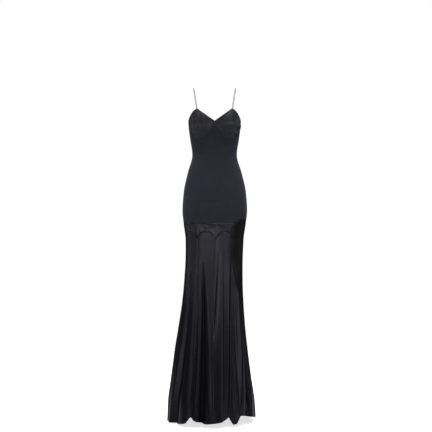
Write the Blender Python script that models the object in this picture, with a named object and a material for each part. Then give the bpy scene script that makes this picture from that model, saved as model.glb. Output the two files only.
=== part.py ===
"""Evening gown: a floor-length slip dress on thin shoulder straps.

The gown hangs in its worn form. Every cut piece is a wall of cloth of its own, laid over one shared
form: a ring of named section sizes at each height, the fullness of the bust, and the folds of the
flared skirt. A place on the cloth is an angle round the body and a height.

Metres, +Z up. The origin is midway between the tops of the straps, where the shoulders carry them.
The front faces -Y and +X is the wearer's left. Angle 0 is the centre front and +90 is the +X side.
"""

import math
from bisect import bisect_right
from collections import namedtuple
from functools import lru_cache

import bmesh
import bpy
from mathutils import Vector

GOWN = "evening_gown"

# Cloth
WALL = 0.0015
SEAM_GAP = 0.0003
ROULEAU_RADIUS = 0.0010
BINDING_RADIUS = 0.0013
STRAP_CLEARANCE = 0.0010

# Heights of the main lines, below the top of the shoulders
FLOOR = -1.560
HIP_SEAM = -0.632
GORE_SHOULDER = -0.705

# Bust
BUST_POINT_X = 0.079
BUST_POINT_Z = -0.175
BUST_FULLNESS = 0.034
BUST_ACROSS = 0.046
BUST_ABOVE = 0.054
BUST_BELOW = 0.040

# Angles where pieces join, in degrees
SIDE_SEAM = 90.0
CUP_APEX = 38.5
BACK_STRAP = 143.0
STRAP_ROOM = 1.35
YOKE_END = 37.0

# How finely the pieces are divided
GORE_COLUMNS = 16
GORE_ROWS = 14
BODY_ROWS = 15
BACK_ROWS = 13
CUP_ROWS = 8
STRAP_POINTS = 27
BINDING_STEP = 4.0

# The form that the gown is cut to: half its width, and how far it reaches to front and back of the
# centre. Square is the power of the section's curve, and 2 is an ellipse.
Section = namedtuple("Section", "height centre half_width front back square")
SECTIONS = [
    Section(-1.570, -0.0138, 0.2090, 0.190, 0.198, 2.00),
    Section(-1.474, -0.0146, 0.2040, 0.175, 0.184, 2.00),
    Section(-1.361, -0.0150, 0.1880, 0.152, 0.164, 2.00),
    Section(-1.248, -0.0148, 0.1730, 0.134, 0.145, 2.00),
    Section(-1.135, -0.0125, 0.1580, 0.117, 0.127, 2.02),
    Section(-1.022, -0.0090, 0.1460, 0.103, 0.112, 2.06),
    Section(-0.909, -0.0055, 0.1380, 0.094, 0.101, 2.10),
    Section(-0.797, -0.0020, 0.1347, 0.090, 0.098, 2.15),
    Section(-0.712, 0.0000, 0.1365, 0.092, 0.107, 2.20),
    Section(-0.640, 0.0005, 0.1457, 0.095, 0.118, 2.25),
    Section(-0.575, 0.0010, 0.1520, 0.095, 0.121, 2.30),
    Section(-0.486, 0.0010, 0.1460, 0.090, 0.111, 2.30),
    Section(-0.400, 0.0005, 0.1275, 0.080, 0.092, 2.30),
    Section(-0.313, 0.0000, 0.1050, 0.071, 0.079, 2.30),
    Section(-0.235, 0.0000, 0.1155, 0.075, 0.086, 2.30),
    Section(-0.176, 0.0000, 0.1224, 0.080, 0.092, 2.30),
    Section(-0.120, 0.0000, 0.1245, 0.082, 0.094, 2.30),
    Section(-0.070, 0.0000, 0.1255, 0.080, 0.092, 2.30),
]

# Hollows between the flutes of the skirt: where each stands at the hem, how far it leans from there
# to its top and bows between them, the breadths of its two walls, its depth, where it begins, and
# whether its bottom is round (0) or comes to a crease (1).
Trough = namedtuple("Trough", "angle lean bow left right depth top sharp")
TROUGHS = [
    Trough(-173.0, 0, 2.0, 9.0, 11.0, 0.024, -0.86, 0.7),
    Trough(-147.0, 4, 0.0, 12.0, 9.0, 0.022, -0.92, 0.6),
    Trough(-124.0, 0, -2.0, 8.0, 13.0, 0.026, -0.88, 0.7),
    Trough(-101.0, -3, 0.0, 9.0, 9.0, 0.018, -0.97, 0.5),
    Trough(-80.0, 2, 0.0, 7.0, 6.0, 0.010, -1.02, 0.7),
    Trough(-63.0, 12, 3.4, 9.0, 24.0, 0.028, -0.86, 0.6),
    Trough(-28.0, -9, 7.5, 6.0, 4.5, 0.010, -0.82, 0.7),
    Trough(-15.0, -12, 6.0, 7.0, 21.0, 0.034, -0.80, 0.9),
    Trough(17.0, 2, 4.0, 6.0, 10.0, 0.013, -0.76, 0.4),
    Trough(24.0, 12, 5.0, 9.0, 13.0, 0.024, -0.76, 0.4),
    Trough(33.0, 4, 0.0, 3.0, 6.0, 0.008, -1.24, 0.4),
    Trough(55.0, 21, 5.0, 14.0, 8.0, 0.024, -0.84, 0.6),
    Trough(82.0, -2, 0.0, 7.0, 8.0, 0.010, -1.02, 0.7),
    Trough(103.0, 3, 1.0, 11.0, 8.0, 0.022, -0.95, 0.7),
    Trough(126.0, 0, -2.0, 9.0, 12.0, 0.026, -0.88, 0.7),
    Trough(149.0, -4, 0.0, 10.0, 8.0, 0.020, -0.93, 0.6),
    Trough(167.0, 0, 0.0, 7.0, 9.0, 0.018, -0.99, 0.7),
]
FLUTE_GROWTH = 0.85
TOP_BREADTH = 0.5

# Height of the hem above the floor, round the skirt
Edge = namedtuple("Edge", "angle height")
HEM_LIFT = [
    Edge(-180.0, 0.004), Edge(-130.0, 0.003), Edge(-88.0, 0.002), Edge(-60.0, 0.004), Edge(-45.0, 0.010),
    Edge(-36.0, 0.0155), Edge(-32.5, 0.027), Edge(-28.5, 0.044), Edge(-24.5, 0.035), Edge(-19.0, 0.0265),
    Edge(-10.0, 0.0157), Edge(2.0, 0.021), Edge(13.5, 0.027), Edge(21.5, 0.036), Edge(25.5, 0.042),
    Edge(28.0, 0.026), Edge(31.0, 0.011), Edge(34.5, 0.0125), Edge(37.5, 0.032), Edge(40.5, 0.048),
    Edge(46.0, 0.046), Edge(62.0, 0.034), Edge(90.0, 0.016), Edge(130.0, 0.005), Edge(180.0, 0.004),
]

# Top edge of the cup, from the centre front to the underarm. It falls on both sides of the apex.
NECKLINE = [Edge(0.0, -0.1635), Edge(10.0, -0.1490), Edge(20.0, -0.1335), Edge(30.0, -0.1180),
            Edge(CUP_APEX, -0.1050)]
ARMHOLE = [Edge(CUP_APEX, -0.1050), Edge(45.0, -0.1110), Edge(53.0, -0.1215), Edge(62.0, -0.1365),
           Edge(75.0, -0.1530), Edge(SIDE_SEAM, -0.1640)]

# Lower seam of the cup: down its inner side, under the bust and out to the side seam
CUP_SEAM = [
    Edge(0.0, -0.1695), Edge(5.0, -0.1840), Edge(10.0, -0.2005), Edge(15.0, -0.2165), Edge(21.0, -0.2305),
    Edge(28.0, -0.2375), Edge(37.0, -0.2400), Edge(52.0, -0.2360), Edge(70.0, -0.2250), Edge(90.0, -0.2120),
]

# Top edge of the back, from one side seam to the other: the underarm, scooped to the centre back
BACK_NECKLINE = [Edge(90.0, -0.1640), Edge(110.0, -0.1770), Edge(135.0, -0.1920), Edge(160.0, -0.2010),
                 Edge(180.0, -0.2035)]

# Lower edge of the front bodice: level, with an arch over the gore that reaches up to it
BODICE_HEM = [
    Edge(-90.0, HIP_SEAM), Edge(YOKE_END, HIP_SEAM), Edge(41.0, -0.6245), Edge(47.0, -0.6165),
    Edge(55.0, -0.6130), Edge(66.0, -0.6140), Edge(79.0, -0.6200), Edge(90.0, -0.6270),
]
BACK_HEM = [Edge(90.0, -0.6270), Edge(110.0, HIP_SEAM), Edge(270.0, HIP_SEAM)]

# Gores, from the wearer's right front round to the back. Each hangs between two seams, given by
# their angles at the top and at the hem, and its top is an arch with a foot at either seam.
Gore = namedtuple("Gore", "name left left_hem right right_hem left_foot right_foot peak peak_at")
GORES = [
    Gore("gore_1", -78.0, -76.0, -34.0, -22.3, -0.698, -0.698, -0.672, 0.34),
    Gore("gore_2", -34.0, -22.3, 2.0, 2.0, -0.698, -0.705, -0.668, 0.50),
    Gore("gore_3", 2.0, 2.0, 37.0, 61.0, -0.705, -0.705, -0.672, 0.50),
    Gore("gore_4", 37.0, 61.0, 90.0, 92.0, -0.705, -0.705, None, None),
    Gore("gore_5", 90.0, 92.0, 138.0, 138.0, -0.705, -0.700, -0.672, 0.50),
    Gore("gore_6", 138.0, 138.0, 186.0, 186.0, -0.700, -0.700, -0.668, 0.50),
    Gore("gore_7", 186.0, 186.0, 234.0, 234.0, -0.700, -0.700, -0.670, 0.50),
    Gore("gore_8", 234.0, 234.0, 282.0, 284.0, -0.700, -0.698, -0.672, 0.50),
]
ARCH_POWER = 2.4
SEAM_SWEEP_TOP = -0.790
SEAM_SWEEP_END = -1.050

# Centre line of the strap on the +X side, between its ends on the cup's apex and on the back
StrapPoint = namedtuple("StrapPoint", "x y z")
STRAP_ROUTE = [
    StrapPoint(0.0870, -0.0640, -0.0590),
    StrapPoint(0.0930, -0.0390, -0.0235),
    StrapPoint(0.0980, -0.0140, -0.0035),
    StrapPoint(0.0995, 0.0080, 0.0010),
    StrapPoint(0.0985, 0.0320, -0.0090),
    StrapPoint(0.0945, 0.0570, -0.0400),
    StrapPoint(0.0870, 0.0760, -0.0880),
    StrapPoint(0.0795, 0.0860, -0.1400),
]

# Finishes: colour, roughness and metallic value
Finish = namedtuple("Finish", "name colour roughness metallic")
CREPE = Finish("crepe", (0.024, 0.024, 0.032, 1.0), 0.90, 0.0)
SATIN = Finish("satin", (0.012, 0.012, 0.016, 1.0), 0.38, 0.0)


# ---- reading the tables -------------------------------------------------------------------------

def row_slope(keys, values, index):
    """Slope of the smooth curve at one row: level at a high or low point, never overshooting."""
    if index == 0 or index == len(keys) - 1:
        near = 0 if index == 0 else index - 1
        return (values[near + 1] - values[near]) / (keys[near + 1] - keys[near])
    before = (values[index] - values[index - 1]) / (keys[index] - keys[index - 1])
    after = (values[index + 1] - values[index]) / (keys[index + 1] - keys[index])
    if before * after <= 0:
        return 0.0
    return 2 * before * after / (before + after)


def read_curve(keys, values, key):
    """Value at a key on a smooth curve through a table's rows. Keys rise."""
    key = min(max(key, keys[0]), keys[-1])
    index = min(max(bisect_right(keys, key) - 1, 0), len(keys) - 2)
    span = keys[index + 1] - keys[index]
    t = (key - keys[index]) / span
    start, end = values[index], values[index + 1]
    start_slope = row_slope(keys, values, index) * span
    end_slope = row_slope(keys, values, index + 1) * span
    return ((2 * t ** 3 - 3 * t ** 2 + 1) * start + (t ** 3 - 2 * t ** 2 + t) * start_slope
            + (3 * t ** 2 - 2 * t ** 3) * end + (t ** 3 - t ** 2) * end_slope)


def read_edge(edge, angle):
    """Height of an edge at an angle in degrees."""
    return read_curve([row.angle for row in edge], [row.height for row in edge], angle)


@lru_cache(maxsize=None)
def section_at(height):
    """The section of the form at a height."""
    heights = [row.height for row in SECTIONS]
    sizes = [[row[i] for row in SECTIONS] for i in range(1, len(Section._fields))]
    return Section(height, *(read_curve(heights, values, height) for values in sizes))


# ---- the form -----------------------------------------------------------------------------------

def turn(angle):
    """The same angle between -180 and 180 degrees."""
    return (angle + 180.0) % 360.0 - 180.0


def bust(x, height, facing):
    """How far the fullness of the bust stands forward."""
    tall = BUST_ABOVE if height > BUST_POINT_Z else BUST_BELOW
    up = (height - BUST_POINT_Z) / tall
    across = [(x - side * BUST_POINT_X) / BUST_ACROSS for side in (-1, 1)]
    rise = sum(math.exp(-0.5 * (aside ** 2 + up ** 2)) for aside in across)
    return BUST_FULLNESS * rise * (1 - (1 - facing) ** 3)


def fold(angle, height):
    """How far the cloth lies inside the outline in the hollows between the flutes."""
    depth = 0.0
    for trough in TROUGHS:
        down = (trough.top - height) / (trough.top - FLOOR)
        if down <= 0:
            continue
        line = trough.angle + trough.lean * (1 - down) + trough.bow * 4 * down * (1 - down)
        away = turn(angle - line)
        breadth = trough.left if away < 0 else trough.right
        away = abs(away) / (breadth * (TOP_BREADTH + (1 - TOP_BREADTH) * min(down, 1)))
        if away < 1:
            rounded = 0.5 * (1 + math.cos(math.pi * away))
            sharp = 1 - math.sin(0.5 * math.pi * away)
            wave = rounded + (sharp - rounded) * trough.sharp
            depth += trough.depth * down ** FLUTE_GROWTH * wave
    return depth


def form(angle, height, folded=True):
    """Point on the outside of the gown, at an angle in degrees and a height, with or without folds."""
    section = section_at(round(height, 6))
    sideways = math.sin(math.radians(angle))
    facing = math.cos(math.radians(angle))
    swell = (abs(sideways) ** section.square + abs(facing) ** section.square) ** (-1 / section.square)
    reach = section.front if facing > 0 else section.back
    x = section.centre + section.half_width * swell * sideways
    y = -reach * swell * facing
    if facing > 0:
        y -= bust(x, height, facing)
    inward = fold(angle, height) if folded else 0.0
    return Vector((x - inward * sideways, y + inward * facing, height))


def form_slopes(angle, height, folded=True):
    """Changes of the point on the form for a degree round it and for a metre up it."""
    degree, metre = 0.02, 0.0004
    right, left = form(angle + degree, height, folded), form(angle - degree, height, folded)
    above, below = form(angle, height + metre, folded), form(angle, height - metre, folded)
    return (right - left) / (2 * degree), (above - below) / (2 * metre)


def cloth_point(angle, height, depth, at_seam=False):
    """Point in the cloth, a depth inside the form. At a seam that depth runs square to the form
    without its folds, so that the edges of the two pieces stay parallel."""
    around, upward = form_slopes(angle, height, folded=not at_seam)
    return form(angle, height) - around.cross(upward).normalized() * depth


def seam_gap(angle, height):
    """Half a seam's gap, in degrees round the form."""
    return 0.5 * SEAM_GAP / form_slopes(angle, height)[0].length


def edge_gap(edge_height, angle):
    """Half a seam's gap measured straight up from a sloping edge."""
    rise = (edge_height(angle + 0.5) - edge_height(angle - 0.5))
    run = form_slopes(angle, edge_height(angle))[0].length
    return 0.5 * SEAM_GAP * math.hypot(1, rise / run)


# ---- the lines of the cut -----------------------------------------------------------------------

def cup_top(angle):
    """Height of the cup's top edge on either side of the centre front."""
    angle = abs(angle)
    return read_edge(NECKLINE if angle < CUP_APEX else ARMHOLE, angle)


def cup_seam(angle):
    """Height of the seam between the cups and the front bodice."""
    return read_edge(CUP_SEAM, abs(angle))


def bodice_hem(angle):
    """Height of the seam at the bottom of the front bodice."""
    return read_edge(BODICE_HEM, angle)


def back_top(angle):
    """Height of the back's top edge, alike on both sides of the centre back."""
    return read_edge(BACK_NECKLINE, 180 - abs(angle - 180))


def back_hem(angle):
    """Height of the seam at the bottom of the back bodice."""
    return read_edge(BACK_HEM, angle)


def hem(angle):
    """Height of the bottom of the skirt."""
    return FLOOR + read_edge(HEM_LIFT, turn(angle))


def arch(gore, share):
    """Height of a gore's arched top at a share of its breadth."""
    if share < gore.peak_at:
        foot, away = gore.left_foot, (gore.peak_at - share) / gore.peak_at
    else:
        foot, away = gore.right_foot, (share - gore.peak_at) / (1 - gore.peak_at)
    return gore.peak + (foot - gore.peak) * away ** ARCH_POWER


def scallops(angle):
    """Height of the yoke's lower seam: the arches of the gores below it."""
    for gore in GORES:
        for turned in (angle, angle + 360, angle - 360):
            if gore.peak is not None and gore.left <= turned <= gore.right:
                return arch(gore, (turned - gore.left) / (gore.right - gore.left))
    return GORE_SHOULDER


def seam_angle(top_angle, hem_angle, height):
    """Angle of a gore's seam at a height: it sweeps from its top angle to its hem angle."""
    down = (SEAM_SWEEP_TOP - height) / (SEAM_SWEEP_TOP - SEAM_SWEEP_END)
    down = min(max(down, 0.0), 1.0)
    return top_angle + (hem_angle - top_angle) * (3 * down ** 2 - 2 * down ** 3)


# ---- making pieces ------------------------------------------------------------------------------

def add_object(name, data, finish):
    """Puts a mesh or a curve in the gown's collection, in its finish."""
    material = bpy.data.materials.get(finish.name) or bpy.data.materials.new(finish.name)
    material.use_nodes = True
    shader = material.node_tree.nodes["Principled BSDF"]
    shader.inputs["Base Color"].default_value = finish.colour
    shader.inputs["Roughness"].default_value = finish.roughness
    shader.inputs["Metallic"].default_value = finish.metallic
    data.materials.append(material)
    piece = bpy.data.objects.new(name, data)
    gown.objects.link(piece)
    return piece


def add_panel(name, finish, columns, rows, place):
    """A wall of cloth over a grid. place(column, row) gives the angle and height of a grid point."""
    grid = bmesh.new()
    bmesh.ops.create_grid(grid, x_segments=columns, y_segments=rows, size=0.5)
    inner = set(grid.verts)
    region = grid.verts[:] + grid.edges[:] + grid.faces[:]
    bmesh.ops.extrude_face_region(grid, geom=region, use_keep_orig=True)
    for vert in grid.verts:
        column = round((vert.co.x + 0.5) * columns)
        row = round((vert.co.y + 0.5) * rows)
        angle, height = place(column, row)
        vert.co = cloth_point(angle, height, WALL if vert in inner else 0.0, column in (0, columns))
    mesh = bpy.data.meshes.new(name)
    grid.to_mesh(mesh)
    grid.free()
    mesh.shade_smooth()
    mesh.set_sharp_from_angle(angle=math.radians(50))
    return add_object(name, mesh, finish)


def add_tube(name, finish, radius, points):
    """A thin round tube along a line of points, closed at both ends."""
    curve = bpy.data.curves.new(name, "CURVE")
    curve.dimensions = "3D"
    curve.bevel_depth = radius
    curve.bevel_resolution = 1
    curve.use_fill_caps = True
    spline = curve.splines.new("POLY")
    spline.points.add(len(points) - 1)
    for spline_point, point in zip(spline.points, points):
        spline_point.co = (*point, 1.0)
    return add_object(name, curve, finish)


def spread(first, last, count):
    """Even values from first to last, with a number of steps between them."""
    return [first + (last - first) * i / count for i in range(count + 1)]


# Angles of the front's columns. Those over gore 4 are the gore's own, so their shared arch fits.
FRONT_ANGLES = spread(-90, 0, 18) + spread(0, YOKE_END, 8)[1:] + spread(YOKE_END, 90, GORE_COLUMNS)[1:]
BACK_ANGLES = spread(90, 270, 28)


def inset(angles, index, height):
    """Angle of a column, moved in by half a gap where it is the piece's own edge."""
    angle = angles[index]
    if index == 0:
        return angle + seam_gap(angle, height)
    if index == len(angles) - 1:
        return angle - seam_gap(angle, height)
    return angle


def add_strip(name, finish, angles, rows, lower, upper, upper_free=False):
    """A panel between a lower and an upper edge, on columns at given angles."""
    def place(column, row):
        angle = angles[column]
        low = lower(angle) + edge_gap(lower, angle)
        high = upper(angle) - (0.0 if upper_free else edge_gap(upper, angle))
        height = low + (high - low) * row / rows
        return inset(angles, column, height), height
    return add_panel(name, finish, len(angles) - 1, rows, place)


def add_bodice():
    """The crepe front and back, with the cups set into the front."""
    add_strip("front_body", CREPE, FRONT_ANGLES, BODY_ROWS, bodice_hem, cup_seam)
    add_strip("back_body", CREPE, BACK_ANGLES, BACK_ROWS, back_hem, back_top, upper_free=True)
    left = [angle for angle in FRONT_ANGLES if angle >= 0]
    right = [angle for angle in FRONT_ANGLES if angle <= 0]
    add_strip("cup_left", SATIN, left, CUP_ROWS, cup_seam, cup_top, upper_free=True)
    add_strip("cup_right", SATIN, right, CUP_ROWS, cup_seam, cup_top, upper_free=True)


def gore_angles(gore):
    """Angles of a gore's columns at its top."""
    return spread(gore.left, gore.right, GORE_COLUMNS)


def add_yokes():
    """The satin band round the hips, with a column at each of the gores' own."""
    front = spread(-90, -78, 4) + [angle for gore in GORES[:3] for angle in gore_angles(gore)[1:]]
    back = [angle for gore in GORES[4:] for angle in gore_angles(gore)[:-1]]
    back = [angle for angle in back if angle < 270 - 1] + [270.0]
    add_strip("yoke_front", SATIN, front, 2, scallops, bodice_hem)
    add_strip("yoke_back", SATIN, back, 2, scallops, back_hem)


def add_gore(gore):
    """A flared gore. The one with no arch of its own rises past the others' feet to the bodice."""
    tall = gore.peak is None
    extra = 2 if tall else 0
    rows = GORE_ROWS + extra

    def place(column, row):
        share = column / GORE_COLUMNS
        top_angle = gore.left + (gore.right - gore.left) * share
        top = bodice_hem if tall else scallops
        crown = top(top_angle) - edge_gap(top, top_angle)
        shoulder = GORE_SHOULDER if tall else crown
        down = (rows - row - extra) / GORE_ROWS
        hem_angle = gore.left_hem + (gore.right_hem - gore.left_hem) * share
        if down >= 0:
            height = shoulder + (hem(hem_angle) - shoulder) * down
        else:
            height = shoulder + (crown - shoulder) * -down * GORE_ROWS / extra
        angle = seam_angle(top_angle, hem_angle, height)
        if column == 0:
            angle += seam_gap(angle, height)
        if column == GORE_COLUMNS:
            angle -= seam_gap(angle, height)
        return angle, height
    add_panel(gore.name, SATIN, GORE_COLUMNS, rows, place)


def binding_point(edge, angle):
    """Middle of the binding over a top edge: half way through the cloth and just above it."""
    rise = edge(angle + 0.25) - edge(angle - 0.25)
    run = form_slopes(angle, edge(angle))[0].length * 0.5
    lift = (BINDING_RADIUS + SEAM_GAP) * math.hypot(1, rise / run)
    return cloth_point(angle, edge(angle) + lift, WALL / 2)


def binding_line(edge, first, last):
    """Points along a binding between two angles."""
    steps = round(abs(last - first) / BINDING_STEP)
    return [binding_point(edge, angle) for angle in spread(first, last, steps)]


def add_bindings():
    """Bias binding over the neckline, the armholes and the back, with room for the straps between."""
    room = STRAP_ROOM
    centre = binding_line(cup_top, -(CUP_APEX - room), 0) + binding_line(cup_top, 0, CUP_APEX - room)[1:]
    add_tube("neckline_binding", SATIN, BINDING_RADIUS, centre)
    across = binding_line(back_top, BACK_STRAP + room, 360 - BACK_STRAP - room)
    add_tube("back_binding", SATIN, BINDING_RADIUS, across)
    under = binding_line(back_top, SIDE_SEAM, BACK_STRAP - room)
    armhole = binding_line(cup_top, CUP_APEX + room, SIDE_SEAM) + under[1:]
    add_tube("armhole_binding_left", SATIN, BINDING_RADIUS, armhole)
    mirrored = [Vector((-point.x, point.y, point.z)) for point in armhole]
    add_tube("armhole_binding_right", SATIN, BINDING_RADIUS, mirrored)


def add_straps():
    """Rouleau straps over the shoulders, from the cups' apexes to the back."""
    front = cloth_point(CUP_APEX, cup_top(CUP_APEX) + STRAP_CLEARANCE, WALL / 2)
    back = cloth_point(BACK_STRAP, back_top(BACK_STRAP) + STRAP_CLEARANCE, WALL / 2)
    route = [front] + [Vector(point) for point in STRAP_ROUTE] + [back]
    lengths = [0.0]
    for here, there in zip(route, route[1:]):
        lengths.append(lengths[-1] + (there - here).length)
    for name, side in (("strap_left", 1), ("strap_right", -1)):
        points = []
        for along in spread(0.0, lengths[-1], STRAP_POINTS):
            x, y, z = (read_curve(lengths, [point[i] for point in route], along) for i in range(3))
            points.append((side * x, y, z))
        add_tube(name, SATIN, ROULEAU_RADIUS, points)


for old in list(bpy.data.objects):
    bpy.data.objects.remove(old)
gown = bpy.data.collections.new(GOWN)
bpy.context.scene.collection.children.link(gown)

add_bodice()
add_yokes()
for gore_row in GORES:
    add_gore(gore_row)
add_bindings()
add_straps()
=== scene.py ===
"""Looks of the evening gown: crepe bodice, satin cups, bindings, straps, yoke and flared satin gores."""
import math
from collections import namedtuple

import bmesh
import bpy
import numpy as np
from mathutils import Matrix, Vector


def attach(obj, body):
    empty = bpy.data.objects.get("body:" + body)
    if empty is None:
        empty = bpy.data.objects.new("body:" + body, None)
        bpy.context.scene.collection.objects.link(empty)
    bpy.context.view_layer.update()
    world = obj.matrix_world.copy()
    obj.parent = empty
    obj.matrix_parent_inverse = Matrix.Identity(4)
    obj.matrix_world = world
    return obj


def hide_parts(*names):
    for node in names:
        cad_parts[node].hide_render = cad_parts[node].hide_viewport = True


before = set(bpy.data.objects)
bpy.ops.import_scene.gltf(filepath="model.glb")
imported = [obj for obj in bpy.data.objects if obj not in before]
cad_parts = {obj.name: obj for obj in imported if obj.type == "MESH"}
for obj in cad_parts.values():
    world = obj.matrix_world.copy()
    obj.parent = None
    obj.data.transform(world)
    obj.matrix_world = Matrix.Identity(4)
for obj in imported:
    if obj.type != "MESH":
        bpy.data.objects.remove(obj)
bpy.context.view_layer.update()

# ---- Front bodice -------------------------------------------------------------------------------
# One panel of matt black crepe, cut on the bias so that it clings with no darts, from a point
# between the cups down to the hips. Plain pressed seams join it to the cups and to the satin below.

# The form that the gown is cut to: half its width, and its reach to the front and the back of the
# centre at each height. Square is the power of the section's curve, and 2 is an ellipse.
Section = namedtuple("Section", "height centre half_width front back square")
SECTIONS = [
    Section(-1.570, -0.0138, 0.2090, 0.190, 0.198, 2.00),
    Section(-1.474, -0.0146, 0.2040, 0.175, 0.184, 2.00),
    Section(-1.361, -0.0150, 0.1880, 0.152, 0.164, 2.00),
    Section(-1.248, -0.0148, 0.1730, 0.134, 0.145, 2.00),
    Section(-1.135, -0.0125, 0.1580, 0.117, 0.127, 2.02),
    Section(-1.022, -0.0090, 0.1460, 0.103, 0.112, 2.06),
    Section(-0.909, -0.0055, 0.1380, 0.094, 0.101, 2.10),
    Section(-0.797, -0.0020, 0.1347, 0.090, 0.098, 2.15),
    Section(-0.712, 0.0000, 0.1365, 0.092, 0.107, 2.20),
    Section(-0.640, 0.0005, 0.1457, 0.095, 0.118, 2.25),
    Section(-0.575, 0.0010, 0.1520, 0.095, 0.121, 2.30),
    Section(-0.486, 0.0010, 0.1460, 0.090, 0.111, 2.30),
    Section(-0.400, 0.0005, 0.1275, 0.080, 0.092, 2.30),
    Section(-0.313, 0.0000, 0.1050, 0.071, 0.079, 2.30),
    Section(-0.235, 0.0000, 0.1155, 0.075, 0.086, 2.30),
    Section(-0.176, 0.0000, 0.1224, 0.080, 0.092, 2.30),
    Section(-0.120, 0.0000, 0.1245, 0.082, 0.094, 2.30),
    Section(-0.070, 0.0000, 0.1255, 0.080, 0.092, 2.30),
]
# The bust point, how far it stands out, and how far its fullness reaches across, above and below
BUST_POINT_X, BUST_POINT_Z = 0.079, -0.175
BUST_FULLNESS, BUST_ACROSS, BUST_ABOVE, BUST_BELOW = 0.034, 0.046, 0.054, 0.040
# Heights of the seam at the hips and of the floor, and the angle where the front yoke ends
HIP_SEAM, FLOOR, YOKE_END = -0.632, -1.560, 37.0


def curve_through(rows, key, value):
    """A smooth curve through one column of a table, level at its high and low points."""
    keys = np.array([getattr(row, key) for row in rows])
    values = np.array([getattr(row, value) for row in rows])
    steps = np.diff(values) / np.diff(keys)
    slopes = np.concatenate(([steps[0]], np.zeros(len(keys) - 2), [steps[-1]]))
    before, after = steps[:-1], steps[1:]
    onward = before * after > 0
    slopes[1:-1][onward] = 2 * before[onward] * after[onward] / (before[onward] + after[onward])

    def read(at):
        at = np.clip(at, keys[0], keys[-1])
        i = np.clip(np.searchsorted(keys, at, side="right") - 1, 0, len(keys) - 2)
        span = keys[i + 1] - keys[i]
        t = (at - keys[i]) / span
        return ((2 * t ** 3 - 3 * t ** 2 + 1) * values[i] + (t ** 3 - 2 * t ** 2 + t) * slopes[i] * span
                + (3 * t ** 2 - 2 * t ** 3) * values[i + 1] + (t ** 3 - t ** 2) * slopes[i + 1] * span)
    return read


centre_at, half_width_at, front_at, back_at, square_at = (
    curve_through(SECTIONS, "height", column) for column in Section._fields[1:])


def form(angle, height, inward=0.0):
    """Points on the outside of the gown at angles in degrees and heights, less an inward depth."""
    sideways, facing = np.sin(np.radians(angle)), np.cos(np.radians(angle))
    square = square_at(height)
    swell = (np.abs(sideways) ** square + np.abs(facing) ** square) ** (-1 / square)
    x = centre_at(height) + half_width_at(height) * swell * sideways
    y = -np.where(facing > 0, front_at(height), back_at(height)) * swell * facing
    up = (height - BUST_POINT_Z) / np.where(height > BUST_POINT_Z, BUST_ABOVE, BUST_BELOW)
    fullness = 0.0
    for side in (-1, 1):
        across = (x - side * BUST_POINT_X) / BUST_ACROSS
        fullness = fullness + np.exp(-0.5 * (across ** 2 + up ** 2))
    y = y - np.where(facing > 0, BUST_FULLNESS * fullness * (1 - (1 - facing) ** 3), 0.0)
    return np.stack([x - inward * sideways, y + inward * facing, height + 0.0 * x], axis=-1)


# A crease is a soft hollow along a line on the cloth, or a soft ridge where its depth is negative.
# Bow is how far the middle of the line bends aside. Bow, breadth and depth are in metres.
Crease = namedtuple("Crease", "angle height to_angle to_height bow breadth depth")
# Metres in a degree at a radius of 0.15, how a crease thins towards its ends, and how fast it fades
# to each side
DEGREE, CREASE_TAPER, FADE = 0.0026, 0.8, 2.2


def crease_depth(creases, angle, height):
    """How far a set of creases lies inside the form."""
    depth = np.zeros_like(angle)
    for crease in creases:
        start = np.array([crease.angle * DEGREE, crease.height])
        way = np.array([crease.to_angle * DEGREE, crease.to_height]) - start
        length = np.hypot(*way)
        right, up = angle * DEGREE - start[0], height - start[1]
        along = (right * way[0] + up * way[1]) / length ** 2
        aside = (up * way[0] - right * way[1]) / length
        aside = (aside - crease.bow * 4 * along * (1 - along)) / crease.breadth
        taper = np.sin(np.pi * np.clip(along, 0, 1)) ** CREASE_TAPER
        depth += crease.depth * taper * np.exp(-FADE * aside ** 2)
    return depth


# At its seams the cloth dips by SEAM_DIP within SEAM_REACH of the edge. Two ripples, one short and
# one long, make the dip vary by the share PUCKER, and each seam of a piece is RIPPLE_SHIFT on.
SEAM_DIP, SEAM_REACH, PUCKER = 0.0008, 0.0045, 0.38
SHORT_RIPPLE, LONG_RIPPLE, RIPPLE_SHIFT = 0.0019, 0.0071, 2.1


def dip_to_seams(seams, away, along):
    """How far the cloth sinks near its seams. away gives the distance from each edge in metres."""
    sink = 0.0
    for number, edge in enumerate(seams):
        near = np.clip(1 - away[edge] / SEAM_REACH, 0, 1)
        ripple = np.sin(along[edge] / SHORT_RIPPLE + number)
        ripple = ripple * np.sin(along[edge] / LONG_RIPPLE + RIPPLE_SHIFT * number)
        sink = sink + SEAM_DIP * near ** 2 * (3 - 2 * near) * (1 + PUCKER * ripple)
    return sink


# Thickness of the cloth, and how far the columns of a panel crowd towards its side edges
THICKNESS, CROWDING = 0.0009, 0.105


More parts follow.
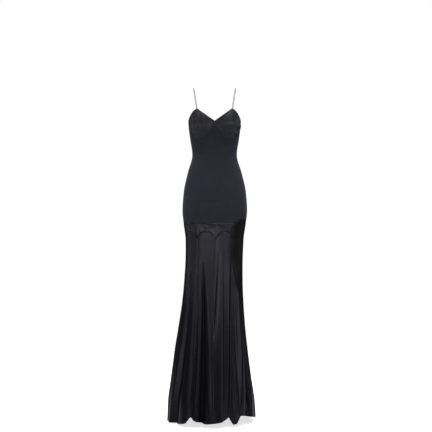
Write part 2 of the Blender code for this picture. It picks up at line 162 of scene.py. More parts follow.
def cloth_panel(name, columns, rows, place, seams, sink):
    """A panel of cloth on a fine grid. place(across, up) gives angles and heights, sink a depth."""
    grid = bmesh.new()
    bmesh.ops.create_grid(grid, x_segments=columns, y_segments=rows, size=0.5)
    mesh = bpy.data.meshes.new(name)
    grid.to_mesh(mesh)
    grid.free()
    flat = np.empty(3 * len(mesh.vertices))
    mesh.vertices.foreach_get("co", flat)
    across, up = flat.reshape(-1, 3)[:, 0] + 0.5, flat.reshape(-1, 3)[:, 1] + 0.5
    across = across - CROWDING * np.sin(2 * np.pi * across)
    angle, height = place(across, up)
    radius = 0.5 * (half_width_at(height) + front_at(height))
    left, right = place(0 * across, up)[0], place(0 * across + 1, up)[0]
    bottom, top = place(across, 0 * up)[1], place(across, 0 * up + 1)[1]
    away = {"left": np.radians(angle - left) * radius, "right": np.radians(right - angle) * radius,
            "bottom": height - bottom, "top": top - height}
    round_form = np.radians(angle) * radius
    along = {"left": height, "right": height, "bottom": round_form, "top": round_form}
    inward = dip_to_seams(seams, away, along) + sink(angle, height)
    mesh.vertices.foreach_set("co", form(angle, height, inward).ravel())
    uv = mesh.uv_layers.new(name="Cloth")
    corner = np.empty(len(mesh.loops), dtype=int)
    mesh.loops.foreach_get("vertex_index", corner)
    uv.data.foreach_set("uv", np.stack([round_form, height], axis=-1)[corner].ravel())
    mesh.shade_smooth()
    mesh.update()
    piece = bpy.data.objects.new(name, mesh)
    bpy.context.collection.objects.link(piece)
    wall = piece.modifiers.new("Thickness", "SOLIDIFY")
    wall.thickness = THICKNESS
    wall.offset = -1
    return piece


# Heights of the edges of the pieces at angles round the form
Edge = namedtuple("Edge", "angle height")
cup_seam_at = curve_through([
    Edge(0.0, -0.1695), Edge(5.0, -0.1840), Edge(10.0, -0.2005), Edge(15.0, -0.2165),
    Edge(21.0, -0.2305), Edge(28.0, -0.2375), Edge(37.0, -0.2400), Edge(52.0, -0.2360),
    Edge(70.0, -0.2250), Edge(90.0, -0.2120),
], "angle", "height")
front_hem_at = curve_through([
    Edge(-90.0, HIP_SEAM), Edge(YOKE_END, HIP_SEAM), Edge(41.0, -0.6245), Edge(47.0, -0.6165),
    Edge(55.0, -0.6130), Edge(66.0, -0.6140), Edge(79.0, -0.6200), Edge(90.0, -0.6270),
], "angle", "height")

# Soft drag lines at the waist and under the bust, and the shallow hollow under the stomach
FRONT_CREASES = [
    Crease(-24, -0.528, 22, -0.528, -0.012, 0.020, 0.0022),
    Crease(-88, -0.300, -52, -0.338, 0.004, 0.006, 0.0012),
    Crease(-86, -0.345, -58, -0.326, 0.003, 0.007, 0.0010),
    Crease(-88, -0.268, -60, -0.296, -0.003, 0.006, 0.0009),
    Crease(88, -0.290, 56, -0.322, -0.004, 0.006, 0.0012),
    Crease(87, -0.352, 60, -0.334, 0.003, 0.008, 0.0010),
    Crease(88, -0.256, 64, -0.280, 0.002, 0.006, 0.0008),
    Crease(-36, -0.246, -22, -0.300, 0.004, 0.009, 0.0010),
    Crease(34, -0.246, 24, -0.296, -0.003, 0.009, 0.0010),
    Crease(-3, -0.215, 2, -0.330, 0.003, 0.016, 0.0012),
    Crease(-84, -0.560, -58, -0.612, 0.005, 0.008, 0.0010),
    Crease(86, -0.545, 60, -0.596, -0.004, 0.008, 0.0009),
]


def add_node(tree, kind, inputs):
    """A new shader node with some of its inputs set by their names."""
    node = tree.nodes.new(kind)
    for socket, value in inputs.items():
        node.inputs[socket].default_value = value
    return node


def new_material(name, inputs):
    """A new material and its node tree, with some inputs of its shader set by their names."""
    material = bpy.data.materials.new(name)
    material.use_nodes = True
    tree = material.node_tree
    for socket, value in inputs.items():
        tree.nodes["Principled BSDF"].inputs[socket].default_value = value
    return material, tree


def noise_over(tree, vector, scale, detail):
    """Noise over the cloth, finer where its scale is larger."""
    noise = add_node(tree, "ShaderNodeTexNoise", {"Scale": scale, "Detail": detail})
    tree.links.new(vector, noise.inputs["Vector"])
    return noise.outputs["Fac"]


def cloth_tones(tree, noise, dark, pale, reach):
    """The cloth's colour, from dark to pale as a noise goes from reach below a half to reach above it."""
    tone = tree.nodes.new("ShaderNodeValToRGB")
    for end, side, colour in zip(tone.color_ramp.elements, (-1, 1), (dark, pale)):
        end.position = 0.5 + side * reach
        end.color = (*colour, 1)
    tree.links.new(noise, tone.inputs["Fac"])
    tree.links.new(tone.outputs["Color"], tree.nodes["Principled BSDF"].inputs["Base Color"])


def cloth_gloss(tree, noise, smooth, rough):
    """The cloth's roughness, from smooth to rough with a noise."""
    gloss = add_node(tree, "ShaderNodeMapRange", {"To Min": smooth, "To Max": rough})
    tree.links.new(noise, gloss.inputs["Value"])
    tree.links.new(gloss.outputs["Result"], tree.nodes["Principled BSDF"].inputs["Roughness"])


def cloth_relief(tree, noise, strength, height):
    """The yarn's relief: small bumps after a noise."""
    bump = add_node(tree, "ShaderNodeBump", {"Strength": strength, "Distance": height})
    tree.links.new(noise, bump.inputs["Height"])
    tree.links.new(bump.outputs["Normal"], tree.nodes["Principled BSDF"].inputs["Normal"])


def crepe_material():
    """Matt black crepe with a pebbled face from its twisted yarn."""
    crepe, tree = new_material("matt_black_crepe", {
        "Specular IOR Level": 0.22, "Sheen Weight": 0.10, "Sheen Roughness": 0.45,
        "Sheen Tint": (0.72, 0.76, 1.0, 1.0)})
    cloth = tree.nodes.new("ShaderNodeUVMap")
    cloth.uv_map = "Cloth"
    pebble = noise_over(tree, cloth.outputs["UV"], 1100, 3)
    cloud = noise_over(tree, cloth.outputs["UV"], 26, 2)
    cloth_tones(tree, cloud, (0.0182, 0.0182, 0.0272), (0.0215, 0.0215, 0.0316), 0.18)
    cloth_gloss(tree, pebble, 0.80, 0.98)
    cloth_relief(tree, pebble, 0.35, 0.0002)
    return crepe


def lerp(low, high, share):
    """Value at a share of the way from low to high."""
    return low + (high - low) * share


def place_front(across, up):
    """Front bodice, between the side seams, from the hip seam to the cups."""
    angle = lerp(-90.0, 90.0, across)
    return angle, lerp(front_hem_at(angle), cup_seam_at(np.abs(angle)), up)


matt_crepe = crepe_material()
front_bodice = cloth_panel("front_bodice", columns=150, rows=150, place=place_front,
                           seams=("left", "right", "top", "bottom"),
                           sink=lambda angle, height: crease_depth(FRONT_CREASES, angle, height))
front_bodice.data.materials.append(matt_crepe)
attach(front_bodice, "root")
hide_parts("front_body")

# ---- Back bodice --------------------------------------------------------------------------------
# The same crepe in one piece from a low scooped neckline to the hips, shaped by its side seams and
# by its bias cut over the small of the back. It ends at the bindings of the straps.

back_half_top_at = curve_through([
    Edge(90.0, -0.1640), Edge(110.0, -0.1770), Edge(135.0, -0.1920), Edge(160.0, -0.2010),
    Edge(180.0, -0.2035),
], "angle", "height")
back_hem_at = curve_through([
    Edge(90.0, -0.6270), Edge(110.0, HIP_SEAM), Edge(270.0, HIP_SEAM),
], "angle", "height")

BACK_CREASES = [
    Crease(92, -0.305, 140, -0.352, 0.006, 0.008, 0.0016),
    Crease(94, -0.345, 150, -0.372, -0.004, 0.009, 0.0014),
    Crease(268, -0.298, 226, -0.346, -0.006, 0.008, 0.0016),
    Crease(266, -0.350, 214, -0.368, 0.004, 0.009, 0.0013),
    Crease(150, -0.322, 206, -0.326, -0.008, 0.009, 0.0018),
    Crease(158, -0.356, 212, -0.352, -0.006, 0.010, 0.0014),
    Crease(128, -0.212, 150, -0.290, 0.005, 0.010, 0.0010),
    Crease(232, -0.212, 212, -0.286, -0.005, 0.010, 0.0010),
    Crease(176, -0.480, 182, -0.610, 0.002, 0.016, 0.0014),
    Crease(112, -0.590, 160, -0.618, 0.004, 0.010, 0.0012),
    Crease(250, -0.586, 204, -0.620, -0.004, 0.010, 0.0012),
]


def back_top_at(angle):
    """Top edge of the back, the same on both sides of its centre."""
    return back_half_top_at(180 - np.abs(angle - 180))


def place_back(across, up):
    """Back bodice, from one side seam round to the other."""
    angle = lerp(90.0, 270.0, across)
    return angle, lerp(back_hem_at(angle), back_top_at(angle), up)


back_bodice = cloth_panel("back_bodice", columns=130, rows=130, place=place_back,
                          seams=("left", "right", "bottom"),
                          sink=lambda angle, height: crease_depth(BACK_CREASES, angle, height))
back_bodice.data.materials.append(matt_crepe)
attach(back_bodice, "root")
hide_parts("back_body")

# ---- Bust cups ----------------------------------------------------------------------------------
# Two soft satin cups, each one piece eased into the bodice. The satin is drawn up at the inner edge
# and breaks over the fullness in a few rounded folds. Nothing stiffens or lines them.

CUP_APEX = Edge(38.5, -0.1050)
neckline_at = curve_through([
    Edge(0.0, -0.1635), Edge(10.0, -0.1490), Edge(20.0, -0.1335), Edge(30.0, -0.1180), CUP_APEX,
], "angle", "height")
armhole_at = curve_through([
    CUP_APEX, Edge(45.0, -0.1110), Edge(53.0, -0.1215), Edge(62.0, -0.1365), Edge(75.0, -0.1530),
    Edge(90.0, -0.1640),
], "angle", "height")

CUP_CREASES = [
    Crease(10, -0.1810, 90, -0.1830, 0.001, 0.0150, -0.0062),
    Crease(22, -0.2030, 90, -0.2030, 0.000, 0.0080, 0.0038),
    Crease(14, -0.1560, 15, -0.2480, 0.000, 0.0050, -0.0062),
    Crease(20, -0.1860, 20, -0.2440, 0.000, 0.0050, 0.0034),
    Crease(22, -0.1460, 34, -0.1160, 0.001, 0.0060, 0.0012),
    Crease(52, -0.1320, 66, -0.1480, 0.002, 0.0050, 0.0010),
    Crease(72, -0.2180, 84, -0.1880, 0.003, 0.0060, 0.0010),
    Crease(-26, -0.1180, -24, -0.2180, 0.001, 0.0042, -0.0050),
    Crease(-32, -0.1200, -31, -0.2180, 0.000, 0.0060, 0.0036),
    Crease(-18, -0.1360, -17, -0.2160, 0.001, 0.0036, -0.0034),
    Crease(-62, -0.2040, -18, -0.2160, 0.002, 0.0075, 0.0016),
    Crease(-40, -0.2320, -44, -0.2140, 0.001, 0.0040, 0.0008),
    Crease(-62, -0.2260, -59, -0.2100, 0.001, 0.0045, 0.0008),
    Crease(-66, -0.2320, -62, -0.1360, -0.001, 0.0080, -0.0064),
    Crease(-48, -0.2260, -46, -0.1360, -0.001, 0.0090, 0.0040),
]

# Copies of one black satin with their own tones, roughness and gloss. Gloss differs with the grain;
# copies paler than the straight grain carry painted sheen in their tones, darker ones painted shade.
SatinCopy = namedtuple("SatinCopy", "name dark pale roughness specular")


def satin_material(grain):
    """Black satin: a smooth warp face that shines along soft folds, with fine threads across it."""
    satin, tree = new_material(grain.name, {
        "Specular IOR Level": grain.specular, "Specular Tint": (0.82, 0.83, 1.0, 1.0)})
    cloth = tree.nodes.new("ShaderNodeUVMap")
    cloth.uv_map = "Cloth"
    stretch = add_node(tree, "ShaderNodeMapping", {"Scale": (1.0, 0.08, 1.0)})
    tree.links.new(cloth.outputs["UV"], stretch.inputs["Vector"])
    threads = noise_over(tree, stretch.outputs["Vector"], 1500, 2)
    cloud = noise_over(tree, cloth.outputs["UV"], 34, 3)
    cloth_tones(tree, cloud, grain.dark, grain.pale, 0.2)
    cloth_gloss(tree, cloud, grain.roughness - 0.01, grain.roughness + 0.02)
    cloth_relief(tree, threads, 0.04, 0.0001)
    return satin


# The cups' copy is painted sheen: its tones are several times paler than the satin of the gores.
cup_satin_painted_sheen = satin_material(SatinCopy("black_satin_cups_painted_sheen", (0.0225, 0.0225, 0.0285),
                                 (0.0270, 0.0270, 0.0340), 0.32, 0.24))

# How far a cup or a gore runs on past its seam, under the piece beyond it. Its depth at the seam and
# its greatest depth are shares of that, and TUCK_SLOPE is how steeply it goes down between them.
ALLOWANCE, TUCK_AT_SEAM, TUCK_DEEPEST, TUCK_SLOPE = 0.0012, 0.8, 1.5, 1.2


def cup_top_at(angle):
    """Top edge of the cup at an angle from the centre front."""
    return np.where(angle < CUP_APEX.angle, neckline_at(angle), armhole_at(angle))


def tuck_under(short_of_seam):
    """Extra depth of the allowance, which starts just short of the seam and deepens past it."""
    return ALLOWANCE * np.clip(TUCK_AT_SEAM - TUCK_SLOPE * short_of_seam / ALLOWANCE, 0, TUCK_DEEPEST)


def place_left_cup(across, up):
    """Cup on the wearer's left, from the centre front to the side seam."""
    angle = lerp(0.0, 90.0, across)
    return angle, lerp(cup_seam_at(angle) - ALLOWANCE, cup_top_at(angle), up)


def place_right_cup(across, up):
    """Cup on the wearer's right, from the side seam to the centre front."""
    angle = lerp(-90.0, 0.0, across)
    return angle, lerp(cup_seam_at(-angle) - ALLOWANCE, cup_top_at(-angle), up)


def cup_depth(angle, height):
    """How far a cup lies inside the form, in its creases and where it runs under the bodice."""
    return crease_depth(CUP_CREASES, angle, height) + tuck_under(height - cup_seam_at(np.abs(angle)))


for side, place in (("left", place_left_cup), ("right", place_right_cup)):
    cup = cloth_panel("satin_cup_" + side, columns=110, rows=80, place=place,
                      seams=("left", "right", "bottom"), sink=cup_depth)
    cup.data.materials.append(cup_satin_painted_sheen)
    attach(cup, "root")
    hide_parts("cup_" + side)

# ---- Bindings -----------------------------------------------------------------------------------
# A narrow bias strip of the same satin folded over every raw edge of the neckline, the armholes and
# the back, and stitched down. It rounds off the edge and stands a little proud of the cloth.

# The middle of a binding is BINDING_INSET inside the outer face of the cloth. The strap meets the
# back at BACK_STRAP.
BINDING_RADIUS, BINDING_INSET, BINDING_STEP = 0.0013, 0.00075, 0.8
BACK_STRAP = 143.0


def round_tube(name, points, radius, material, roundness=5):
    """A soft round tube with closed ends along a line of points."""
    route = bpy.data.curves.new(name, "CURVE")
    route.dimensions = "3D"
    route.bevel_depth = radius
    route.bevel_resolution = roundness
    route.use_fill_caps = True
    spline = route.splines.new("POLY")
    spline.points.add(len(points) - 1)
    for knot, point in zip(spline.points, points):
        knot.co = (*point, 1.0)
    tube = bpy.data.objects.new(name, route)
    bpy.context.collection.objects.link(tube)
    route.materials.append(material)
    return tube


def edge_line(edge_at, first, last):
    """Middle of the binding along a top edge, inside the cloth's face and just above its edge."""
    angle = np.linspace(first, last, round((last - first) / BINDING_STEP))
    points = form(angle, edge_at(angle) + BINDING_RADIUS, BINDING_INSET)
    return [Vector(point) for point in points]


def satin_trim():
    """Satin on the narrow trims: darker and less glossy than the panels, with a fine even grain."""
    trim, tree = new_material("black_satin_bias_trim", {
        "Base Color": (0.0045, 0.0045, 0.0060, 1), "Specular IOR Level": 0.22})
    place = tree.nodes.new("ShaderNodeTexCoord")
    threads = noise_over(tree, place.outputs["Object"], 1800, 2)
    cloth_gloss(tree, threads, 0.34, 0.52)
    cloth_relief(tree, threads, 0.2, 0.0001)
    return trim


trim_satin = satin_trim()
neck = edge_line(lambda angle: cup_top_at(np.abs(angle)), -CUP_APEX.angle, CUP_APEX.angle)
back = edge_line(back_top_at, BACK_STRAP, 360 - BACK_STRAP)
left_arm = edge_line(cup_top_at, CUP_APEX.angle, 90) + edge_line(back_top_at, 90, BACK_STRAP)[1:]
right_arm = [Vector((-point.x, point.y, point.z)) for point in left_arm]
for name, points in (("neckline_binding", neck), ("back_binding", back),
                     ("armhole_binding_left", left_arm), ("armhole_binding_right", right_arm)):
    binding = round_tube(name + "_satin", points, BINDING_RADIUS, trim_satin)
    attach(binding, "root")
    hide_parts(name)

# ---- Shoulder straps ----------------------------------------------------------------------------
# Rouleau straps: narrow bias tubes of satin turned right side out, sewn to the cups' apexes in front
# and to the back binding behind. They take the whole weight of the gown over the shoulders.

StrapPoint = namedtuple("StrapPoint", "x y z")
STRAP_ROUTE = [
    StrapPoint(0.0870, -0.0640, -0.0590), StrapPoint(0.0930, -0.0390, -0.0235),
    StrapPoint(0.0980, -0.0140, -0.0035), StrapPoint(0.0995, 0.0080, 0.0010),
    StrapPoint(0.0985, 0.0320, -0.0090), StrapPoint(0.0945, 0.0570, -0.0400),
    StrapPoint(0.0870, 0.0760, -0.0880), StrapPoint(0.0795, 0.0860, -0.1400),
]
STRAP_RADIUS, STRAP_POINTS = 0.0010, 150
Knot = namedtuple("Knot", "along x y z")
strap_ends = (left_arm[0], left_arm[-1])
route = [strap_ends[0]] + [Vector(point) for point in STRAP_ROUTE] + [strap_ends[1]]
strides = [(there - here).length for here, there in zip(route, route[1:])]
lengths = np.concatenate(([0.0], np.cumsum(strides)))
knots = [Knot(along, *point) for along, point in zip(lengths, route)]
strap_x, strap_y, strap_z = (curve_through(knots, "along", axis) for axis in "xyz")
steps = np.linspace(0, lengths[-1], STRAP_POINTS)
for side, turned in (("left", 1), ("right", -1)):
    line = [(turned * x, y, z) for x, y, z in zip(strap_x(steps), strap_y(steps), strap_z(steps))]
    strap = round_tube("rouleau_strap_" + side, line, STRAP_RADIUS, trim_satin)
    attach(strap, "root")
    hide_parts("strap_" + side)

# ---- Gores --------------------------------------------------------------------------------------
# Eight flared gores of satin make the skirt. Each widens from its arched top to the hem, so that the
# cloth falls in rounded flutes. One front gore rises past the yoke to the crepe itself.

# Angles of a gore's two side seams at the top and at the hem, heights of the feet and the peak of
# its arch, and how far across the peak is. The gore without a peak rises to the bodice.
Gore = namedtuple("Gore", "name left left_hem right right_hem left_foot right_foot peak peak_at")
GORES = [
    Gore("gore_1", -78.0, -76.0, -34.0, -22.3, -0.698, -0.698, -0.672, 0.34),
    Gore("gore_2", -34.0, -22.3, 2.0, 2.0, -0.698, -0.705, -0.668, 0.50),
    Gore("gore_3", 2.0, 2.0, 37.0, 61.0, -0.705, -0.705, -0.672, 0.50),
    Gore("gore_4", 37.0, 61.0, 90.0, 92.0, -0.705, -0.705, None, None),
    Gore("gore_5", 90.0, 92.0, 138.0, 138.0, -0.705, -0.700, -0.672, 0.50),
    Gore("gore_6", 138.0, 138.0, 186.0, 186.0, -0.700, -0.700, -0.668, 0.50),
    Gore("gore_7", 186.0, 186.0, 234.0, 234.0, -0.700, -0.700, -0.670, 0.50),
    Gore("gore_8", 234.0, 234.0, 282.0, 284.0, -0.700, -0.698, -0.672, 0.50),
]
# How square the arches are and their height between two gores, and the heights between which the
# seams sweep over from their angles at the top to those at the hem
ARCH_POWER, GORE_SHOULDER, SEAM_SWEEP_TOP, SEAM_SWEEP_END = 2.4, -0.705, -0.790, -1.050

# Hollows between the flutes, as they stand at the hem: their angle, how far they lean from there to
# their tops and bow between, the breadths of their two walls, their depth and where they begin, and
# how sharp they are at the bottom.
Trough = namedtuple("Trough", "angle lean bow left right depth top sharp")
TROUGHS = [
    Trough(-173.0, 0, 2.0, 9.0, 11.0, 0.024, -0.86, 0.7),
    Trough(-147.0, 4, 0.0, 12.0, 9.0, 0.022, -0.92, 0.6),
    Trough(-124.0, 0, -2.0, 8.0, 13.0, 0.026, -0.88, 0.7),
    Trough(-101.0, -3, 0.0, 9.0, 9.0, 0.018, -0.97, 0.5),
    Trough(-80.0, 2, 0.0, 7.0, 6.0, 0.010, -1.02, 0.7),
    Trough(-63.0, 12, 3.4, 9.0, 24.0, 0.028, -0.86, 0.6),
    Trough(-28.0, -9, 7.5, 6.0, 4.5, 0.010, -0.82, 0.7),
    Trough(-15.0, -12, 6.0, 7.0, 21.0, 0.034, -0.80, 0.9),
    Trough(17.0, 2, 4.0, 6.0, 10.0, 0.013, -0.76, 0.4),
    Trough(24.0, 12, 5.0, 9.0, 13.0, 0.024, -0.76, 0.4),
    Trough(33.0, 4, 0.0, 3.0, 6.0, 0.008, -1.24, 0.4),
    Trough(55.0, 21, 5.0, 14.0, 8.0, 0.024, -0.84, 0.6),
    Trough(82.0, -2, 0.0, 7.0, 8.0, 0.010, -1.02, 0.7),
    Trough(103.0, 3, 1.0, 11.0, 8.0, 0.022, -0.95, 0.7),
    Trough(126.0, 0, -2.0, 9.0, 12.0, 0.026, -0.88, 0.7),
    Trough(149.0, -4, 0.0, 10.0, 8.0, 0.020, -0.93, 0.6),
    Trough(167.0, 0, 0.0, 7.0, 9.0, 0.018, -0.99, 0.7),
]
# How the hollows deepen down the skirt, and the share of their breadth that they have at their tops
FLUTE_GROWTH, TOP_BREADTH = 0.85, 0.5
# How far the hem is above the floor
hem_lift_at = curve_through([
    Edge(-180.0, 0.004), Edge(-130.0, 0.003), Edge(-88.0, 0.002), Edge(-60.0, 0.004), Edge(-45.0, 0.010),
    Edge(-36.0, 0.0155), Edge(-32.5, 0.027), Edge(-28.5, 0.044), Edge(-24.5, 0.035), Edge(-19.0, 0.0265),
    Edge(-10.0, 0.0157), Edge(2.0, 0.021), Edge(13.5, 0.027), Edge(21.5, 0.036), Edge(25.5, 0.042),
    Edge(28.0, 0.026), Edge(31.0, 0.011), Edge(34.5, 0.0125), Edge(37.5, 0.032), Edge(40.5, 0.048),
    Edge(46.0, 0.046), Edge(62.0, 0.034), Edge(90.0, 0.016), Edge(130.0, 0.005), Edge(180.0, 0.004),
], "angle", "height")

# Narrower ridges and hollows that run down the flutes: angles at the top, the middle and the bottom
# of each, half its breadth in degrees, and how far it stands out, or in where that is negative.
Pleat = namedtuple("Pleat", "top bottom angle middle_angle bottom_angle breadth rise")
PLEAT_TAPER = 0.7
PLEATS = [
    Pleat(-0.95, -1.32, -33, -30, -27, 2.6, -0.0030),
    Pleat(-0.80, -1.20, -46, -44, -42, 3.6, -0.0024),
    Pleat(-0.77, -1.08, -34, -32.5, -30, 3.0, -0.0022),
    Pleat(-0.80, -1.12, -23, -20, -16, 6.5, -0.0035),
    Pleat(-0.77, -1.26, 3.5, 2.5, -2.5, 5.0, 0.0028),
    Pleat(-0.77, -1.26, 9.5, 8, 2.5, 5.0, -0.0052),
    Pleat(-0.80, -1.52, 48, 55, 36, 8.0, 0.0075),
    Pleat(-0.86, -1.50, 100, 106, 110, 3.0, 0.0035),
    Pleat(-0.90, -1.40, 118, 115, 114, 2.4, -0.0030),
    Pleat(-0.88, -1.54, 136, 139, 137, 3.6, 0.0045),
    Pleat(-0.95, -1.50, 158, 157, 160, 2.8, 0.0035),
    Pleat(-0.90, -1.52, 176, 179, 177, 3.4, 0.0045),
    Pleat(-1.00, -1.48, 190, 189, 187, 2.2, -0.0030),
    Pleat(-0.90, -1.54, 204, 199, 201, 3.2, 0.0040),
    Pleat(-0.94, -1.50, 226, 224, 222, 3.0, 0.0035),
    Pleat(-0.88, -1.54, 246, 247, 249, 3.6, 0.0045),
    Pleat(-1.02, -1.52, 268, 270, 271, 2.8, 0.0030),
]


def within_half_turn(angle):
    """The same angles between -180 and 180 degrees."""
    return (angle + 180.0) % 360.0 - 180.0


def flute_depth(angle, height):
    """How far the satin lies inside the outline, in its flutes and pleats."""
    depth = np.zeros_like(angle)
    for trough in TROUGHS:
        down = np.clip((trough.top - height) / (trough.top - FLOOR), 0, None)
        line = trough.angle + trough.lean * (1 - down) + trough.bow * 4 * down * (1 - down)
        away = within_half_turn(angle - line)
        away = away / np.where(away < 0, trough.left, trough.right)
        away = np.clip(np.abs(away / lerp(TOP_BREADTH, 1.0, np.clip(down, 0, 1))), 0, 1)
        rounded, sharp = 0.5 * (1 + np.cos(np.pi * away)), 1 - np.sin(0.5 * np.pi * away)
        wave = lerp(rounded, sharp, trough.sharp)
        depth += trough.depth * down ** FLUTE_GROWTH * wave
    for pleat in PLEATS:
        down = np.clip((pleat.top - height) / (pleat.top - pleat.bottom), 0, 1)
        curved = 4 * (pleat.angle + pleat.bottom_angle) - 8 * pleat.middle_angle
        line = pleat.angle + (pleat.bottom_angle - pleat.angle) * down + 0.5 * curved * down * (down - 1)
        away = within_half_turn(angle - line) / pleat.breadth
        depth -= pleat.rise * np.sin(np.pi * down) ** PLEAT_TAPER * np.exp(-FADE * away ** 2)
    return depth


def gore_depth(angle, height):
    """How far a gore lies inside the outline, with its top run under the yoke or the bodice."""
    top = np.where((angle > YOKE_END) & (angle < 90), front_hem_at(angle), scallops_at(angle))
    return flute_depth(angle, height) + np.where(height > SEAM_SWEEP_TOP, tuck_under(top - height), 0.0)


def scallops_at(angle):
    """Height of the arched seam between the yoke and the gores."""
    height = np.full_like(angle, GORE_SHOULDER)
    for gore in GORES:
        if gore.peak is None:
            continue
        for turned in (angle, angle + 360, angle - 360):
            share = (turned - gore.left) / (gore.right - gore.left)
            foot = np.where(share < gore.peak_at, gore.left_foot, gore.right_foot)
            reach = np.where(share < gore.peak_at, gore.peak_at, 1 - gore.peak_at)
            arch = gore.peak + (foot - gore.peak) * (np.abs(share - gore.peak_at) / reach) ** ARCH_POWER
            height = np.where((share >= 0) & (share <= 1), arch, height)
    return height


def place_gore(gore):
    """Places on a gore: its seams sweep from their angles at the top to those at the hem."""
    def place(across, up):
        top_angle = lerp(gore.left, gore.right, across)
        hem_angle = lerp(gore.left_hem, gore.right_hem, across)
        top = (front_hem_at(top_angle) if gore.peak is None else scallops_at(top_angle)) + ALLOWANCE
        hem = FLOOR + hem_lift_at(within_half_turn(hem_angle))
        height = lerp(hem, top, up)
        down = np.clip((SEAM_SWEEP_TOP - height) / (SEAM_SWEEP_TOP - SEAM_SWEEP_END), 0, 1)
        return lerp(top_angle, hem_angle, 3 * down ** 2 - 2 * down ** 3), height
    return place


# Copies of one satin: bias has painted sheen (paler, glossier), cross has painted shade (darker, duller).
straight_satin = satin_material(SatinCopy("black_satin_straight_grain", (0.0046, 0.0046, 0.0060),
                                      (0.0062, 0.0062, 0.0080), 0.245, 0.28))
bias_satin_painted_sheen = satin_material(SatinCopy("black_satin_bias_grain_painted_sheen", (0.0046, 0.0046, 0.0060),
                                  (0.0066, 0.0066, 0.0088), 0.245, 0.42))
cross_satin_painted_shade = satin_material(SatinCopy("black_satin_cross_grain_painted_shade", (0.0036, 0.0036, 0.0048),
                                   (0.0050, 0.0050, 0.0066), 0.245, 0.22))
# Gores 3 and 7 take the painted sheen copy, gores 4 and 6 the painted shade copy.
OFF_GRAIN_PAINTED_LIGHT = {"gore_3": bias_satin_painted_sheen, "gore_4": cross_satin_painted_shade, "gore_6": cross_satin_painted_shade, "gore_7": bias_satin_painted_sheen}
FRONT_COLUMNS, BACK_COLUMNS = 90, 60
for gore in GORES:
    columns = FRONT_COLUMNS if gore.left < 90 else BACK_COLUMNS
    satin_gore = cloth_panel("satin_" + gore.name, columns=columns, rows=190, place=place_gore(gore),
                             seams=("left", "right", "top"), sink=gore_depth)
    satin_gore.data.materials.append(OFF_GRAIN_PAINTED_LIGHT.get(gore.name, straight_satin))
    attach(satin_gore, "root")
    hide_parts(gore.name)

# ---- Hip yoke -----------------------------------------------------------------------------------
# A satin band round the hips between the crepe and the gores. Its top is level and its lower edge is
# scalloped where the arched gores are let into it. It stops at the gore that rises to the bodice.

YOKE_CREASES = [
    Crease(-70, -0.640, -62, -0.668, 0.001, 0.005, 0.0012),
    Crease(-52, -0.636, -44, -0.664, 0.001, 0.005, 0.0010),
    Crease(-33, -0.694, -28, -0.645, 0.001, 0.009, 0.0006),
    Crease(-19, -0.640, -13, -0.664, 0.001, 0.009, 0.0005),
    Crease(2, -0.700, 6, -0.645, 0.001, 0.009, 0.0006),
    Crease(16, -0.638, 24, -0.660, 0.001, 0.009, 0.0006),
    Crease(100, -0.640, 124, -0.660, 0.002, 0.006, 0.0010),
    Crease(138, -0.696, 146, -0.646, 0.001, 0.005, 0.0012),
    Crease(156, -0.640, 178, -0.654, -0.002, 0.006, 0.0010),
    Crease(186, -0.696, 180, -0.646, 0.001, 0.005, 0.0012),
    Crease(206, -0.640, 226, -0.658, 0.001, 0.006, 0.0010),
    Crease(240, -0.642, 262, -0.656, 0.001, 0.006, 0.0010),
]


def place_yoke(first, last, top_at):
    """Places on the yoke between two angles, from the scalloped seam up to the bodice."""
    def place(across, up):
        angle = lerp(first, last, across)
        return angle, lerp(scallops_at(angle), top_at(angle), up)
    return place


YokeHalf = namedtuple("YokeHalf", "node first last top_at hangs_from flat area")
for half in (YokeHalf("yoke_front", -90.0, YOKE_END, front_hem_at, "front_body", (0.38, 0.085), 0.0152),
             YokeHalf("yoke_back", 90.0, 270.0, back_hem_at, "back_body", (0.46, 0.085), 0.0215)):
    yoke = cloth_panel("satin_" + half.node, columns=220, rows=24,
                       place=place_yoke(half.first, half.last, half.top_at),
                       seams=("left", "right", "top", "bottom"),
                       sink=lambda angle, height: crease_depth(YOKE_CREASES, angle, height))
    # The yoke takes the bias copy, with its painted sheen.
    yoke.data.materials.append(bias_satin_painted_sheen)
    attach(yoke, "root")
    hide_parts(half.node)

# ---- Rolled hem ---------------------------------------------------------------------------------
# The bottom of the skirt is finished with a narrow hand-rolled hem, a soft round edge that follows
# every flute.

HEM_RADIUS, HEM_INSET, HEM_POINTS = 0.0011, 0.0004, 1100
hem_angle = np.linspace(GORES[0].left_hem, GORES[-1].right_hem, HEM_POINTS)
hem_height = FLOOR + hem_lift_at(within_half_turn(hem_angle)) + HEM_RADIUS
hem_points = form(hem_angle, hem_height, flute_depth(hem_angle, hem_height) + HEM_INSET)
rolled_hem = round_tube("rolled_hem", hem_points, HEM_RADIUS, trim_satin, roundness=3)
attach(rolled_hem, "root")

# What each gore is cut to, with its seam allowances, and the piece that it hangs from
Cut = namedtuple("Cut", "width length area hangs_from")

# ---- Floor, light and camera --------------------------------------------------------------------
# A pale studio floor in a white surround under a broad ceiling of soft light. Long low softboxes in
# front light the hips and the skirt, strips in front of the chest and to its sides light the cups,
# and weaker boxes stand high and behind. A level camera looks at the middle of the gown.

FLOOR_RADIUS, FLOOR_GAP = 2.4, 0.001
bpy.ops.mesh.primitive_circle_add(vertices=128, radius=FLOOR_RADIUS, fill_type="NGON",
                                  location=(0, 0, FLOOR - FLOOR_GAP))
floor = bpy.context.object
floor.name = "studio_floor"
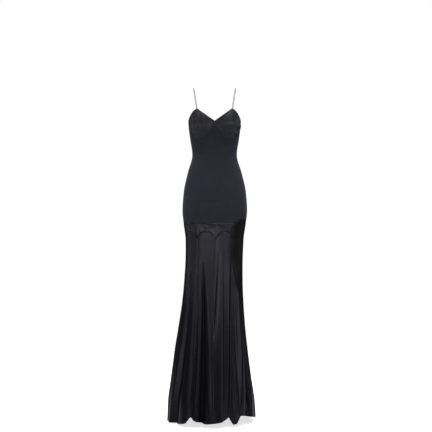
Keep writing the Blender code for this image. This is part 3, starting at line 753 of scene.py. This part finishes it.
# The camera sees the floor paler than it lights the gown
pale, floor_tree = new_material("pale_floor", {
    "Emission Strength": 1.0, "Roughness": 0.9, "Specular IOR Level": 0.1})
floor_seen = floor_tree.nodes.new("ShaderNodeLightPath")
floor_tone = floor_tree.nodes.new("ShaderNodeValToRGB")
floor_tone.color_ramp.elements[0].color = (0.20, 0.20, 0.212, 1)
floor_tone.color_ramp.elements[1].color = (0.70, 0.70, 0.70, 1)
floor_tree.links.new(floor_seen.outputs["Is Camera Ray"], floor_tone.inputs["Fac"])
for socket in ("Base Color", "Emission Color"):
    floor_tree.links.new(floor_tone.outputs["Color"], floor_tree.nodes["Principled BSDF"].inputs[socket])
floor.data.materials.append(pale)

# Where each box stands round the gown and how high, the height that it is aimed at, its size, and how
# bright its face is
SoftLight = namedtuple("SoftLight", "name azimuth distance height aim width tall strength")
for soft in (
    SoftLight("low_front_softbox", -2, 1.0, -0.83, -0.83, 1.6, 0.17, 1.2),
    SoftLight("low_left_softbox", -80, 1.0, -0.83, -0.83, 1.1, 0.20, 0.8),
    SoftLight("low_right_softbox", 82, 1.0, -0.83, -0.83, 1.1, 0.20, 0.3),
    SoftLight("right_softbox", 43, 4.6, -0.65, -0.65, 2.5, 0.6, 1.6),
    SoftLight("left_softbox", -42, 4.6, -0.65, -0.65, 2.4, 0.6, 1.4),
    SoftLight("floor_left_softbox", -14, 4.6, -1.85, -1.85, 3.6, 0.9, 2.6),
    SoftLight("chest_softbox", 34, 1.2, -0.34, -0.34, 2.2, 0.22, 2.3),
    SoftLight("right_chest_softbox", 104, 1.2, -0.16, -0.16, 0.8, 0.20, 2.6),
    SoftLight("left_chest_softbox", -88, 1.2, -0.36, -0.36, 0.7, 0.24, 3.0),
    SoftLight("high_left_softbox", -105, 4.6, 0.60, -0.15, 1.6, 1.6, 0.5),
    SoftLight("high_front_softbox", 15, 4.6, 1.10, -0.10, 1.6, 1.8, 0.1),
    SoftLight("back_softbox", 178, 4.6, -1.0, -1.0, 2.4, 1.8, 1.2),
    SoftLight("ceiling_softbox", 0, 0.01, 2.2, 0.0, 4.4, 4.4, 3.6),
):
    lamp = bpy.data.lights.new(soft.name, "AREA")
    lamp.shape = "RECTANGLE"
    lamp.size, lamp.size_y = soft.width, soft.tall
    lamp.energy = math.pi * soft.width * soft.tall * soft.strength
    holder = bpy.data.objects.new(soft.name, lamp)
    bpy.context.collection.objects.link(holder)
    turned = math.radians(soft.azimuth)
    holder.location = (soft.distance * math.sin(turned), -soft.distance * math.cos(turned), soft.height)
    sight = Vector((0, 0, soft.aim)) - holder.location
    holder.rotation_euler = sight.to_track_quat("-Z", "Y").to_euler()
    holder.visible_camera = False

# The surround too is white to the camera and lights the gown only faintly
world = bpy.data.worlds.new("white_surround")
bpy.context.scene.world = world
world.use_nodes = True
surround = world.node_tree.nodes["Background"]
surround.inputs["Color"].default_value = (1, 1, 1, 1)
seen = world.node_tree.nodes.new("ShaderNodeLightPath")
shine = add_node(world.node_tree, "ShaderNodeMapRange", {"To Min": 0.05, "To Max": 1.0})
world.node_tree.links.new(seen.outputs["Is Camera Ray"], shine.inputs["Value"])
world.node_tree.links.new(shine.outputs["Result"], surround.inputs["Strength"])

CAMERA_HEIGHT, CAMERA_DISTANCE, CAMERA_X = FLOOR + 0.96, 4.5, 0.0066
view = bpy.data.cameras.new("camera")
view.sensor_width = 36.0
view.lens = 79.75
camera = bpy.data.objects.new("camera", view)
bpy.context.collection.objects.link(camera)
camera.location = (CAMERA_X, -CAMERA_DISTANCE, CAMERA_HEIGHT)
camera.rotation_euler = (math.radians(90), 0, 0)
bpy.context.scene.camera = camera
bpy.context.scene.view_settings.view_transform = "Standard"
